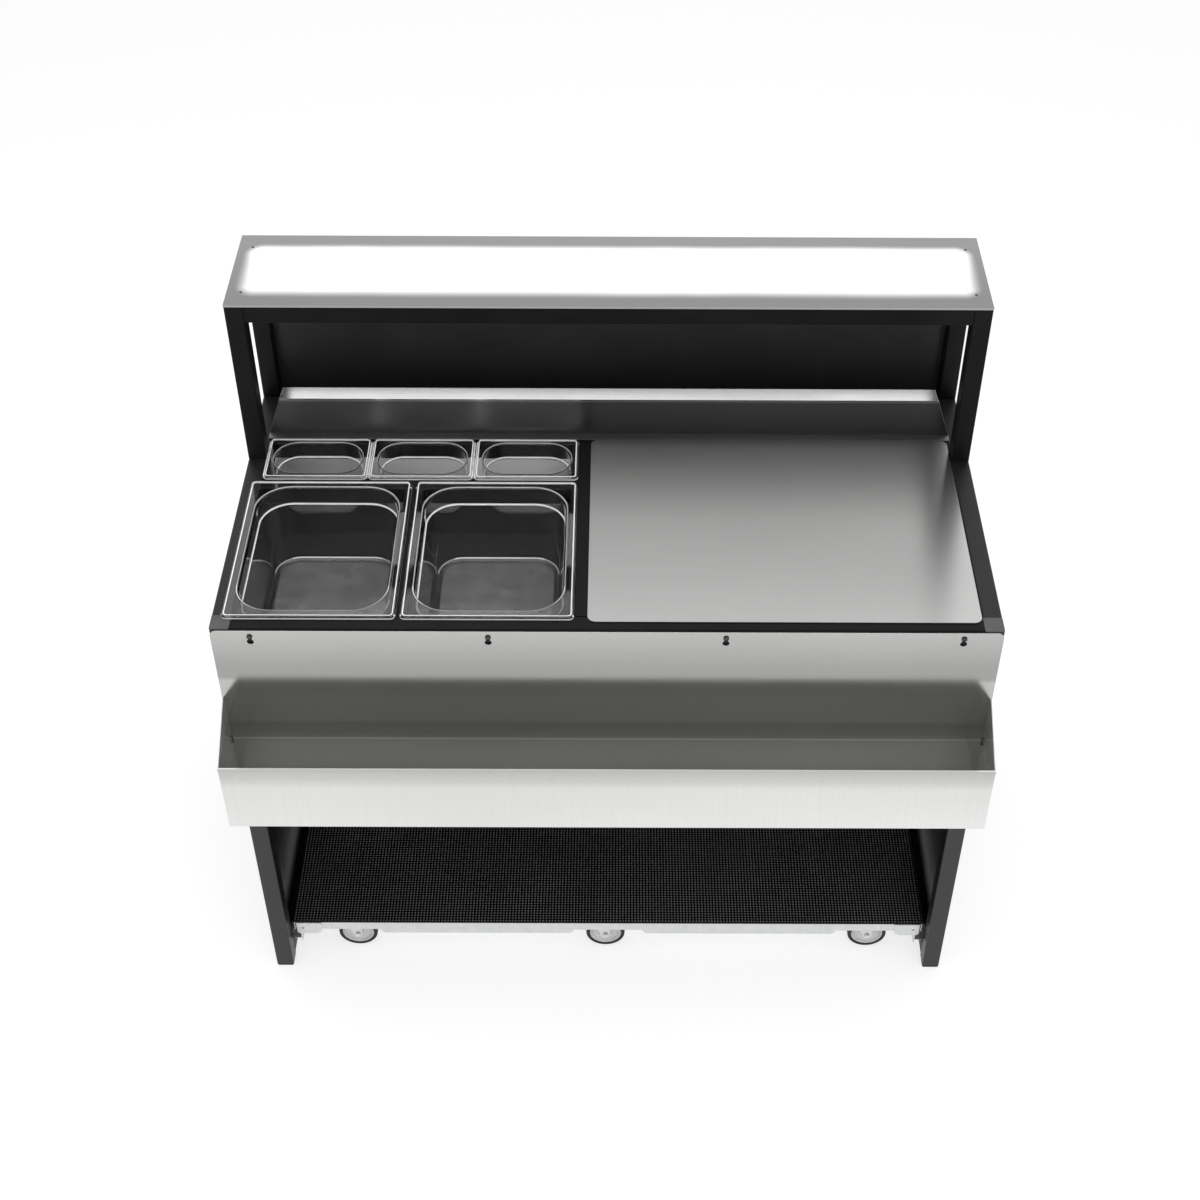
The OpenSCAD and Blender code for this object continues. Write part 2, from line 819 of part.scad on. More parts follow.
module caster_fork(i) {
    color(zinc) from_front() translate(caster_at(i)) {
        difference() {
            translate([0, 0, fork_top_z - fork_top_t]) linear_extrude(fork_top_t) {
                circle(race_r);
                square([cheek_w, 2 * (fork_y + fork_t)], center = true);
            }
            translate([0, 0, fork_top_z - fork_top_t - 1])
                cylinder(r = kingpin_r + fit_gap, h = fork_top_t + 2);
        }
        for (s = [0, 1]) mirror([0, s, 0])
            translate([0, fork_y + fork_t, fork_top_z]) rotate([90, 0, 0]) fork_cheek();
        translate([trail, fork_y + fork_t, axle_z]) rotate([90, 0, 0])
            cylinder(r = axle_r, h = 2 * (fork_y + fork_t));
        for (s = [0, 1]) mirror([0, s, 0])
            translate([trail, fork_y + fork_t + nut_t, axle_z]) rotate([90, 0, 0])
                cylinder(r = nut_r, h = nut_t, $fn = 6);
    }
}

// Wheel body around the Y axis: rim, dished web and boss
module caster_hub(i) {
    rim_r = wheel_r - tyre_t;
    half = wheel_w / 2;
    color([0.72, 0.72, 0.72]) from_front()
        translate(caster_at(i) + [trail, 0, axle_z]) rotate([90, 0, 0]) rotate_extrude()
            difference() {
                translate([axle_r + fit_gap, -half - boss_lip])
                    square([rim_r - fit_gap - axle_r - fit_gap, wheel_w + 2 * boss_lip]);
                for (s = [0, 1]) mirror([0, s])
                    polygon([[boss_r, half + 2], [boss_r + 1, half - dish],
                             [rim_r - rim_ring - 2, half - dish], [rim_r - rim_ring, half],
                             [rim_r + 1, half], [rim_r + 1, half + 2]]);
            }
}

module caster_tyre(i) {
    rim_r = wheel_r - tyre_t;
    edge = 2.5;
    color([0.12, 0.12, 0.12]) from_front()
        translate(caster_at(i) + [trail, 0, axle_z]) rotate([90, 0, 0]) rotate_extrude()
            translate([rim_r + tyre_t / 2, 0]) {
                square([tyre_t, wheel_w - 2 * edge], center = true);
                translate([-edge / 2, 0]) square([tyre_t - edge, wheel_w], center = true);
                for (s = [-1, 1])
                    translate([tyre_t / 2 - edge, s * (wheel_w / 2 - edge)]) circle(edge);
            }
}

front_legs();
rear_legs();
upper_side_rails();
lower_side_rails();
counter_front_rail();
counter_rear_rail();
lower_rear_rail();
gantry_posts();
gantry_front_rail();
gantry_rear_rail();
gantry_side_rails();
leg_caps();
leg_feet();
side_panels();
upper_back_panel();
lower_back_panel();
panel_screws();
inset_cross_bars();
inset_long_bars();
pan_well();
ice_well();
rear_deck();
splash_ledge();
light_panel();
light_tray();
light_strips();
light_panel_screws();
rail_studs();
shelf_edges();
shelf_deck();
shelf_mat();
shelf_brackets();
shelf_bolts();
caster_mounts();
speed_rail();
cover_plate();
large_pan(0);  // large_pan_1
large_pan(1);  // large_pan_2
small_pan(0);  // small_pan_1
small_pan(1);  // small_pan_2
small_pan(2);  // small_pan_3
caster_fork(0);  // caster_fork_1
caster_fork(1);  // caster_fork_2
caster_fork(2);  // caster_fork_3
caster_fork(3);  // caster_fork_4
caster_fork(4);  // caster_fork_5
caster_fork(5);  // caster_fork_6
caster_hub(0);  // caster_hub_1
caster_hub(1);  // caster_hub_2
caster_hub(2);  // caster_hub_3
caster_hub(3);  // caster_hub_4
caster_hub(4);  // caster_hub_5
caster_hub(5);  // caster_hub_6
caster_tyre(0);  // caster_tyre_1
caster_tyre(1);  // caster_tyre_2
caster_tyre(2);  // caster_tyre_3
caster_tyre(3);  // caster_tyre_4
caster_tyre(4);  // caster_tyre_5
caster_tyre(5);  // caster_tyre_6
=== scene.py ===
import math

import bmesh
import bpy
from mathutils import Matrix, Vector


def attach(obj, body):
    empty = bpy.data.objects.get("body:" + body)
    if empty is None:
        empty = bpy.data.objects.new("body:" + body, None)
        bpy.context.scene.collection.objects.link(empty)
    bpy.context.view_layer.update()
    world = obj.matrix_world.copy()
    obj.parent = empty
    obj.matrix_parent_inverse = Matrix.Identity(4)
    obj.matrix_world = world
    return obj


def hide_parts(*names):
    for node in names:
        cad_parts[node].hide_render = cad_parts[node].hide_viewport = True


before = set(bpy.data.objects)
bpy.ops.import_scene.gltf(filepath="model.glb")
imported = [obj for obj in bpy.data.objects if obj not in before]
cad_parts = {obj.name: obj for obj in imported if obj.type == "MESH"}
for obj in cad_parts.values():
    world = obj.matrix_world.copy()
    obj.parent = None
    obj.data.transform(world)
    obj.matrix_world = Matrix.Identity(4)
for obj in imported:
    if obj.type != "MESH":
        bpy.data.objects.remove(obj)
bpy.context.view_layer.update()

# Shapes are in millimetres, with y counted from the counter's front face; pt() takes them to
# the frame. Materials, lights and the camera are in the frame's metres.
FRONT_Y = -254.25
COUNTER_Z = 848
AXLE_Z, TRAIL = 35.5, 8

# Sockets of a Mix node that mixes colours.
MIX_A, MIX_B, MIX_OUT = 6, 7, 2


def pt(x, y, z):
    return Vector((x / 1000, (y + FRONT_Y) / 1000, z / 1000))


# ---------------------------------------------------------------- node helpers
def new_node(tree, kind, **values):
    n = tree.nodes.new(kind)
    for key, value in values.items():
        setattr(n, key, value)
    return n


def mix_shaders(tree, fac, a, b):
    """Shader a where fac is 0 and shader b where it is 1."""
    n = new_node(tree, "ShaderNodeMixShader")
    for source, socket in zip((fac, a, b), n.inputs):
        tree.links.new(source, socket)
    return n.outputs[0]


class Shade:
    """A node material with one Principled shader."""

    def __init__(self, name, color, rough, metal=0.0, spec=0.5):
        self.mat = bpy.data.materials.new(name)
        self.mat.use_nodes = True
        self.tree = self.mat.node_tree
        self.bsdf = self.tree.nodes["Principled BSDF"]
        self.out = self.tree.nodes["Material Output"]
        self.put("Base Color", color)
        self.put("Roughness", rough)
        self.put("Metallic", metal)
        self.put("Specular IOR Level", spec)
        self.coord = None
        self.normal = None

    def put(self, socket, value):
        if isinstance(value, tuple) and len(value) == 3:
            value = (*value, 1.0)
        self.bsdf.inputs[socket].default_value = value

    def node(self, kind, **values):
        return new_node(self.tree, kind, **values)

    def link(self, a, b):
        self.tree.links.new(a, b)

    def drive(self, source, socket):
        """Feeds a socket of the shader."""
        self.link(source, self.bsdf.inputs[socket])

    def place(self, scale=(1, 1, 1)):
        """Position in the frame, stretched by `scale`."""
        if self.coord is None:
            self.coord = self.node("ShaderNodeTexCoord")
        m = self.node("ShaderNodeMapping")
        m.inputs["Scale"].default_value = scale
        self.link(self.coord.outputs["Object"], m.inputs["Vector"])
        return m.outputs["Vector"]

    def split(self, vector):
        n = self.node("ShaderNodeSeparateXYZ")
        self.link(vector, n.inputs[0])
        return tuple(n.outputs)

    def facing(self):
        return self.split(self.node("ShaderNodeNewGeometry").outputs["Normal"])

    def noise(self, size, scale=(1, 1, 1), detail=3.0, rough=0.5):
        n = self.node("ShaderNodeTexNoise")
        n.inputs["Scale"].default_value = size
        n.inputs["Detail"].default_value = detail
        n.inputs["Roughness"].default_value = rough
        self.link(self.place(scale), n.inputs["Vector"])
        return n.outputs["Fac"]

    def math(self, how, a, b=None, c=None):
        n = self.node("ShaderNodeMath", operation=how)
        for i, v in enumerate((a, b, c)):
            if v is None:
                continue
            if isinstance(v, (int, float)):
                n.inputs[i].default_value = v
            else:
                self.link(v, n.inputs[i])
        return n.outputs[0]

    def ramp(self, value, lo, hi, a=0.0, b=1.0):
        """Takes the range a to b of `value` to the range lo to hi, clamped."""
        n = self.node("ShaderNodeMapRange")
        n.inputs["From Min"].default_value = a
        n.inputs["From Max"].default_value = b
        n.inputs["To Min"].default_value = lo
        n.inputs["To Max"].default_value = hi
        self.link(value, n.inputs["Value"])
        return n.outputs["Result"]

    def mix(self, fac, a, b):
        """Colour a where fac is 0 and colour b where it is 1."""
        n = self.node("ShaderNodeMix", data_type="RGBA")
        self.link(fac, n.inputs["Factor"])
        for key, value in ((MIX_A, a), (MIX_B, b)):
            if isinstance(value, tuple):
                n.inputs[key].default_value = (*value, 1.0)
            else:
                self.link(value, n.inputs[key])
        return n.outputs[MIX_OUT]

    def tint(self, fac, dark, light):
        self.drive(self.mix(fac, dark, light), "Base Color")

    def bump(self, height, strength, distance):
        """Adds a bump on top of those that are there."""
        n = self.node("ShaderNodeBump")
        n.inputs["Strength"].default_value = strength
        n.inputs["Distance"].default_value = distance
        self.link(height, n.inputs["Height"])
        if self.normal is not None:
            self.link(self.normal, n.inputs["Normal"])
        self.normal = n.outputs["Normal"]
        self.drive(self.normal, "Normal")


# ---------------------------------------------------------------- materials
def powder_coat(name, dark, light, rough, spec=0.5, glow=0.0):
    s = Shade(name, light, rough, spec=spec)
    s.tint(s.ramp(s.noise(9, detail=4), 0, 1, 0.3, 0.7), dark, light)
    s.drive(s.ramp(s.noise(22, detail=2), rough - 0.015, rough + 0.02, 0.3, 0.7), "Roughness")
    s.bump(s.noise(1400, detail=2), 0.10, 0.0002)
    s.bump(s.noise(260, detail=1), 0.05, 0.0004)
    # A coat that glows carries painted light: it emits though it is no lamp.
    if glow:
        s.put("Emission Color", (1.0, 1.0, 1.0))
        s.put("Emission Strength", glow)
    return s.mat


def black_coat(name, dark, light, rough, spec):
    """Powder coat in two tones of a faintly cool black."""
    return powder_coat(name, (dark, dark * 1.02, dark * 1.04), (light, light * 1.02, light * 1.04),
                       rough, spec)


def rubber(name, dark, light, rough):
    s = Shade(name, light, rough, spec=0.4)
    s.tint(s.ramp(s.noise(60, detail=4), 0, 1, 0.35, 0.65), dark, light)
    s.bump(s.noise(1100, detail=2), 0.15, 0.0002)
    return s.mat


def plastic(name, dark, light, rough):
    s = Shade(name, light, rough)
    s.tint(s.ramp(s.noise(35, detail=3), 0, 1, 0.3, 0.7), dark, light)
    s.drive(s.ramp(s.noise(80, detail=2), rough - 0.05, rough + 0.05, 0.3, 0.7), "Roughness")
    s.bump(s.noise(1500, detail=1), 0.04, 0.0001)
    return s.mat


def clear_plastic(name, color, rough, clear, grain=0.0):
    """Moulded clear plastic; `clear` is the share of light that goes straight through, and
    `grain` is how strongly it is pebbled."""
    s = Shade(name, color, rough, spec=0.3)
    s.put("Transmission Weight", clear)
    s.put("IOR", 1.5)
    s.drive(s.ramp(s.noise(30, detail=3), rough * 0.5, rough * 1.6, 0.35, 0.7), "Roughness")
    s.bump(s.noise(14, detail=2), 0.05, 0.002)
    if grain:
        speck = s.noise(520, detail=3, rough=0.7)
        s.drive(s.ramp(speck, clear - 0.05, min(clear + 0.05, 1.0), 0.35, 0.65),
                "Transmission Weight")
        s.bump(speck, grain, 0.0005)
    see = s.node("ShaderNodeBsdfTransparent")
    see.inputs["Color"].default_value = (0.98, 0.98, 0.98, 1)
    shadow = s.node("ShaderNodeLightPath").outputs["Is Shadow Ray"]
    s.link(mix_shaders(s.tree, shadow, s.bsdf.outputs[0], see.outputs[0]),
           s.out.inputs["Surface"])
    return s.mat


def opal_sheet(x_half, y0, y1, corner, soft_back, soft_front):
    """Diffuser sheet: grey along its border, painted darker towards the front as painted shade,
    glowing inside a softly feathered round frame.
    """
    s = Shade("opal_sheet", (0.27, 0.27, 0.27), 0.32)
    x, y, _ = s.split(s.place())
    y_mid, y_half = (y0 + y1) / 2, (y1 - y0) / 2
    dx = s.math("SUBTRACT", s.math("ABSOLUTE", x), x_half - corner)
    dy = s.math("SUBTRACT", s.math("ABSOLUTE", s.math("SUBTRACT", y, y_mid)), y_half - corner)
    out_x, out_y = s.math("MAXIMUM", dx, 0.0), s.math("MAXIMUM", dy, 0.0)
    reach = s.math("SQRT", s.math("ADD", s.math("MULTIPLY", out_x, out_x),
                                  s.math("MULTIPLY", out_y, out_y)))
    inside = s.math("MINIMUM", s.math("MAXIMUM", dx, dy), 0.0)
    wave = s.ramp(s.noise(9, detail=2), -0.002, 0.002)
    edge = s.math("ADD", s.math("SUBTRACT", s.math("ADD", reach, inside), corner), wave)
    glow = s.node("ShaderNodeMapRange", interpolation_type="SMOOTHSTEP")
    for key, value in (("From Min", 0.004), ("To Min", 0.0), ("To Max", 1.0)):
        glow.inputs[key].default_value = value
    s.link(s.ramp(y, -soft_front, -soft_back, y0 + 0.04, y1 - 0.02), glow.inputs["From Max"])
    s.link(edge, glow.inputs["Value"])
    top = s.math("GREATER_THAN", s.facing()[2], 0.5)
    lit = s.math("MULTIPLY", glow.outputs["Result"], top)
    # The border is painted darker towards the front: painted shade.
    border = s.mix(s.ramp(y, 0, 1, y0, y1), (0.215, 0.215, 0.215), (0.27, 0.27, 0.27))
    s.tint(lit, s.mix(top, (0.45, 0.45, 0.45), border), (0.85, 0.85, 0.84))
    s.put("Emission Color", (1.0, 0.995, 0.985))
    s.drive(s.math("MULTIPLY", lit, 0.75), "Emission Strength")
    s.bump(s.noise(900, detail=1), 0.02, 0.0002)
    return s.mat


def nib_mat(pitch, x0, y0):
    """Rubber mat: a square lattice of small round nibs whose tops are painted pale as a painted
    highlight.
    """
    s = Shade("mat_rubber", (0.006, 0.006, 0.006), 0.62, spec=0.2)
    x, y, _ = s.split(s.place())
    cell = []
    for along, start in ((x, x0), (y, y0)):
        u = s.math("MULTIPLY_ADD", along, 1 / pitch, -start / pitch)
        cell.append(s.math("SUBTRACT", s.math("FRACT", u), 0.5))
    r = s.math("SQRT", s.math("ADD", s.math("POWER", cell[0], 2), s.math("POWER", cell[1], 2)))
    nib = s.ramp(r, 1, 0, 0.14, 0.34)
    clean = s.ramp(s.noise(6, detail=3), 0.65, 1.0, 0.3, 0.7)
    # The pale nib tops are a painted highlight.
    s.tint(s.math("MULTIPLY", nib, clean), (0.003, 0.003, 0.003), (0.40, 0.40, 0.40))
    s.drive(s.ramp(nib, 0.75, 0.42), "Roughness")
    s.bump(nib, 0.6, 0.0012)
    return s.mat


def liner():
    """Satin steel of the wells: painted light makes it bright high on the back wall that faces the
    light, where it is also less metallic; elsewhere it is darker.
    """
    s = Shade("well_steel", (0.3, 0.3, 0.3), 0.34, metal=0.45)
    x, y, z = s.split(s.place())
    # Painted light: the back wall is bright above this height, and brighter towards its right end.
    wall = s.math("MULTIPLY", s.ramp(y, 0, 1, 0.175, 0.19), s.ramp(z, 0, 1, 0.735, 0.765))
    pitted = s.noise(420, detail=3, rough=0.7)
    darker_tone = s.mix(s.ramp(pitted, 0, 1, 0.35, 0.65), (0.028, 0.028, 0.027), (0.070, 0.070, 0.068))
    bright = s.mix(s.ramp(x, 0.0, 1.0, -0.54, -0.25), (0.45, 0.45, 0.445), (0.98, 0.98, 0.97))
    s.tint(wall, darker_tone, bright)
    s.drive(s.ramp(wall, 0.45, 0.05), "Metallic")
    s.bump(pitted, 0.05, 0.0003)
    return s.mat


def grain_noise(s, grain):
    """Fine streaks; `grain` is a scale per axis, and they run along its smallest one."""
    return s.noise(1, grain, detail=4, rough=0.65)


def brush(s, fine, rough, streak, more=None):
    """Roughness and bump of brushed steel; `more` adds to the roughness."""
    cloud = s.ramp(s.noise(7, detail=3), rough - 0.09 * streak, rough - 0.02 * streak, 0.3, 0.7)
    total = s.math("MULTIPLY_ADD", fine, 0.10 * streak, cloud)
    if more is not None:
        total = s.math("ADD", total, more)
    s.drive(total, "Roughness")
    s.bump(fine, 0.06 * streak, 0.0002)


def brushed(name, dark, light, rough, grain, streak=1.0, metal=0.9):
    """Brushed steel of one tone."""
    s = Shade(name, light, rough, metal=metal)
    fine = grain_noise(s, grain)
    s.tint(s.ramp(fine, 0, 1, 0.25, 0.75), dark, light)
    brush(s, fine, rough, streak)
    return s.mat


def grey_scale(s, value, stops):
    """Grey tone over `value`; stops are pairs of (place, tone)."""
    lo, hi = stops[0][0], stops[-1][0]
    tone = s.node("ShaderNodeValToRGB")
    bar = tone.color_ramp
    while len(bar.elements) < len(stops):
        bar.elements.new(0.5)
    for stop, (place, grey) in zip(bar.elements, stops):
        stop.position = (place - lo) / (hi - lo)
        stop.color = (grey, grey, grey * 0.99, 1)
    s.link(s.ramp(value, 0, 1, lo, hi), tone.inputs[0])
    return tone.outputs[0]


def rail_tone(s, tone, rise, y, z, metal):
    """The bottle rail's tone: `rise` follows its height as painted light and reflections, faces
    turned inwards or up are less metallic, which brightens them as painted light, and the crease
    low on its back plate and the up-facing tops of its upper edges carry painted highlights."""
    graded = s.node("ShaderNodeMix", data_type="RGBA", blend_type="MULTIPLY")
    graded.inputs["Factor"].default_value = 1.0
    s.link(tone, graded.inputs[MIX_A])
    s.link(grey_scale(s, z, rise), graded.inputs[MIX_B])
    n_x, n_y, n_z = s.facing()
    turned = s.math("MAXIMUM", s.math("MAXIMUM", n_y, n_z),
                    s.math("MULTIPLY", s.math("ABSOLUTE", n_x), 0.6))
    s.drive(s.ramp(turned, metal, 0.30, 0.1, 0.9), "Metallic")
    # Painted highlights: a thin bright line along the crease low on the back plate, and the
    # up-facing tops of the upper edges.
    off_fold = s.math("ABSOLUTE", s.math("SUBTRACT", z, 0.6088))
    fold_highlight = s.math("MULTIPLY", s.ramp(off_fold, 0.85, 0, 0.0008, 0.0022),
                  s.math("GREATER_THAN", y, -0.262))
    rim_highlight = s.math("MULTIPLY", s.math("GREATER_THAN", n_z, 0.7), s.math("GREATER_THAN", z, 0.64))
    return s.mix(s.math("MAXIMUM", fold_highlight, rim_highlight), graded.outputs[MIX_OUT], (0.95, 0.95, 0.94))


def graded_steel(name, rough, grain, axis, stops, aniso, metal=1.0, turn=0.25, streak=1.0,
                 rise=None, satin=None):
    """Brushed steel whose tone follows `stops` along an axis as painted light, shade and
    reflections. `rise` is for the bottle rail, and `satin` is a height and how much rougher the
    steel is below it."""
    s = Shade(name, (0.6, 0.6, 0.6), rough, metal=metal)
    fine = grain_noise(s, grain)
    place = s.split(s.place())
    tone = grey_scale(s, place[axis], stops)
    if rise:
        tone = rail_tone(s, tone, rise, place[1], place[2], metal)
    smudge = s.ramp(s.noise(2.2, (0.6, 1, 1), detail=2), 0.16, 0, 0.3, 0.7)
    tone = s.mix(smudge, tone, (0.16, 0.16, 0.16))
    s.tint(s.ramp(fine, 0, 0.12, 0.25, 0.75), tone, (0.2, 0.2, 0.2))
    more = s.ramp(place[2], satin[1], 0, satin[0], satin[0] + 0.003) if satin else None
    brush(s, fine, rough, streak, more)
    s.put("Anisotropic", aniso)
    s.put("Anisotropic Rotation", turn)
    along = s.node("ShaderNodeTangent", direction_type="UV_MAP", uv_map="grain")
    s.drive(along.outputs[0], "Tangent")
    return s.mat


# The frame's tubes wear one black paint: black_coat, black_coat_legs, black_coat_upper and
# black_coat_side are lit and shaded copies of it, their tone and gloss set apart as painted light
# and shade.
BLACK = black_coat("black_coat", 0.0042, 0.0066, 0.46, 0.17)
LEGS = black_coat("black_coat_legs", 0.0055, 0.0085, 0.42, 0.52)
UPPER = black_coat("black_coat_upper", 0.007, 0.011, 0.46, 0.09)
SIDE = black_coat("black_coat_side", 0.0085, 0.0125, 0.42, 0.38)
PANEL = black_coat("black_panel", 0.020, 0.027, 0.38, 0.5)
SKIN = black_coat("black_side_panel", 0.005, 0.008, 0.45, 0.15)
CAP = plastic("black_plastic", (0.072, 0.072, 0.073), (0.090, 0.090, 0.091), 0.42)
FOOT = rubber("foot_rubber", (0.018, 0.018, 0.018), (0.03, 0.03, 0.03), 0.6)
DARK = brushed("dark_screw", (0.05, 0.05, 0.05), (0.12, 0.12, 0.12), 0.42, (300, 300, 300))
ALONG_X, ALONG_Z = (5, 1300, 1300), (1300, 1300, 6)
# Painted light, shade and reflections: the cover plate's tone darkens towards the back, the bottle
# rail's changes with depth and in bands with height, and the ledge is bright on its lip and flange
# and dark on its face.
STEEL_TOP = graded_steel("steel_top", 0.30, ALONG_X, 1,
                         [(-0.24, 0.74), (0.0, 0.68), (0.20, 0.49)], 0.85, streak=0.3)
STEEL_RAIL = graded_steel("steel_rail", 0.13, ALONG_Z, 1,
                          [(-0.357, 0.82), (-0.345, 0.82), (-0.262, 0.64), (-0.25, 0.64)],
                          0.3, metal=0.86, turn=0.0, streak=0.4,
                          rise=[(0.505, 1.0), (0.60, 0.94), (0.618, 0.76), (0.6445, 0.62),
                                (0.65, 0.78), (0.7375, 0.82), (0.746, 0.57), (0.77, 0.57),
                                (0.85, 0.80)])
STEEL_LEDGE = graded_steel("steel_ledge", 0.20, ALONG_X, 2,
                           [(0.84, 1.0), (0.8489, 1.0), (0.8494, 0.36), (0.852, 0.26),
                            (0.915, 0.27), (0.922, 0.92), (0.93, 0.92)],
                           0.6, satin=(0.918, 0.20))
WELL_STEEL = liner()
ICE_STEEL = brushed("ice_well_steel", (0.42, 0.42, 0.415), (0.56, 0.56, 0.555), 0.38, ALONG_X,
                    metal=0.6)
ZINC = brushed("zinc", (0.69, 0.70, 0.71), (0.80, 0.81, 0.82), 0.36, (60, 60, 60), streak=0.8,
               metal=0.7)
# The light tray's white coat glows as painted light, which brightens the splash ledge's flange
# below it.
PAINTED_GLOW = powder_coat("white_coat_painted_glow", (0.72, 0.72, 0.71), (0.8, 0.8, 0.79), 0.5, glow=1.1)
STRIP = plastic("light_strip", (0.8, 0.79, 0.76), (0.9, 0.89, 0.86), 0.45)
HUB = plastic("wheel_plastic", (0.71, 0.71, 0.71), (0.81, 0.81, 0.81), 0.3)
TYRE = rubber("tyre", (0.012, 0.012, 0.0125), (0.019, 0.019, 0.0195), 0.55)
OPAL = opal_sheet(0.587, pt(0, 432, 0).y, pt(0, 582, 0).y, 0.030, 0.022, 0.036)
MAT = nib_mat(0.0055, -0.5648, pt(0, 30, 0).y)

# A pan's material by index: its walls, the painted highlight on its edges, its floor, the dimmer
# painted highlight on its edges.
BODY, EDGE_HIGHLIGHT, BASE, DIM_HIGHLIGHT = 0, 1, 2, 3
CLEAR = [clear_plastic("clear_plastic", (0.965, 0.97, 0.97), 0.025, 1.0),
         plastic("clear_edge_highlight", (0.84, 0.845, 0.845), (0.95, 0.955, 0.955), 0.16),
         clear_plastic("clear_base", (0.93, 0.93, 0.925), 0.14, 0.965, grain=0.35),
         plastic("clear_rim_dim_highlight", (0.36, 0.37, 0.37), (0.46, 0.47, 0.47), 0.18)]


# ---------------------------------------------------------------- mesh helpers
def finish_mesh(bm, name, mats, body, node, angle=35):
    """Makes the object that stands for a node, with a UV map whose axes the steel's grain uses;
    edges that turn by more than `angle` degrees stay sharp."""
    uv = bm.loops.layers.uv.new("grain")
    bm.normal_update()
    for f in bm.faces:
        side, flat = abs(f.normal.x) > 0.7, abs(f.normal.z) > 0.7
        for loop in f.loops:
            c = loop.vert.co
            loop[uv].uv = (c.y, c.z) if side else ((c.x, c.y) if flat else (c.x, c.z))
        f.smooth = True
    mesh = bpy.data.meshes.new(name)
    bm.to_mesh(mesh)
    bm.free()
    for mat in mats:
        mesh.materials.append(mat)
    obj = bpy.data.objects.new(name, mesh)
    bpy.context.scene.collection.objects.link(obj)
    mesh.set_sharp_from_angle(angle=math.radians(angle))
    weigh = obj.modifiers.new("weigh", "WEIGHTED_NORMAL")
    weigh.keep_sharp = True
    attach(obj, body)
    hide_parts(node)


def eased(node, mat, body, width, segments=2):
    """The node's own shape with its sharp edges eased by `width` millimetres, as folded or cut
    metal has them."""
    bm = bmesh.new()
    bm.from_mesh(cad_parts[node].data)
    bmesh.ops.remove_doubles(bm, verts=bm.verts, dist=1e-6)
    bmesh.ops.dissolve_limit(bm, angle_limit=math.radians(0.4), verts=bm.verts, edges=bm.edges,
                             delimit={"NORMAL"})
    sharp = [e for e in bm.edges if len(e.link_faces) == 2
             and e.calc_face_angle(0) > math.radians(35)]
    bmesh.ops.bevel(bm, geom=sharp, offset=width / 1000, offset_type="OFFSET",
                    segments=segments, profile=0.5, affect="EDGES", clamp_overlap=False)
    finish_mesh(bm, "shown_" + node, [mat], body, node)


def ring(w, d, r, z, n=12):
    """Points of a rounded rectangle w by d with corner radius r, n steps a corner."""
    out = []
    for k, (sx, sy) in enumerate(((1, 1), (-1, 1), (-1, -1), (1, -1))):
        for i in range(n + 1):
            a = math.radians(90 * k + 90 * i / n)
            out.append((sx * (w / 2 - r) + r * math.cos(a), sy * (d / 2 - r) + r * math.sin(a), z))
    return out


def loft(bm, rings, centre, looks):
    """Skins the rings in order and closes both ends; looks[k] is the material index of the band
    that ends at ring k, and looks[0] that of the ends."""
    loops = [[bm.verts.new(pt(centre[0] + x, centre[1] + y, centre[2] + z)) for x, y, z in r]
             for r in rings]
    for look, a, b in zip(looks[1:], loops, loops[1:]):
        for i in range(len(a)):
            j = (i + 1) % len(a)
            bm.faces.new((a[i], a[j], b[j], b[i])).material_index = look
    for loop, flip in ((loops[0], True), (loops[-1], False)):
        mid = bm.verts.new(sum((v.co for v in loop), Vector()) / len(loop))
        for i in range(len(loop)):
            j = (i + 1) % len(loop)
            lid = bm.faces.new((mid, loop[j], loop[i]) if flip else (mid, loop[i], loop[j]))
            lid.material_index = looks[0]


def lathe(bm, profile, centre, steps=64):
    """Turns (radius, y) points round the Y axis through centre; the profile is closed."""
    rows = []
    for i in range(steps):
        a = 2 * math.pi * i / steps
        rows.append([bm.verts.new(pt(centre[0] + r * math.cos(a), centre[1] + y,
                                     centre[2] + r * math.sin(a))) for r, y in profile])
    for i in range(steps):
        a, b = rows[i], rows[(i + 1) % steps]
        for k in range(len(profile)):
            m = (k + 1) % len(profile)
            bm.faces.new((a[k], a[m], b[m], b[k]))


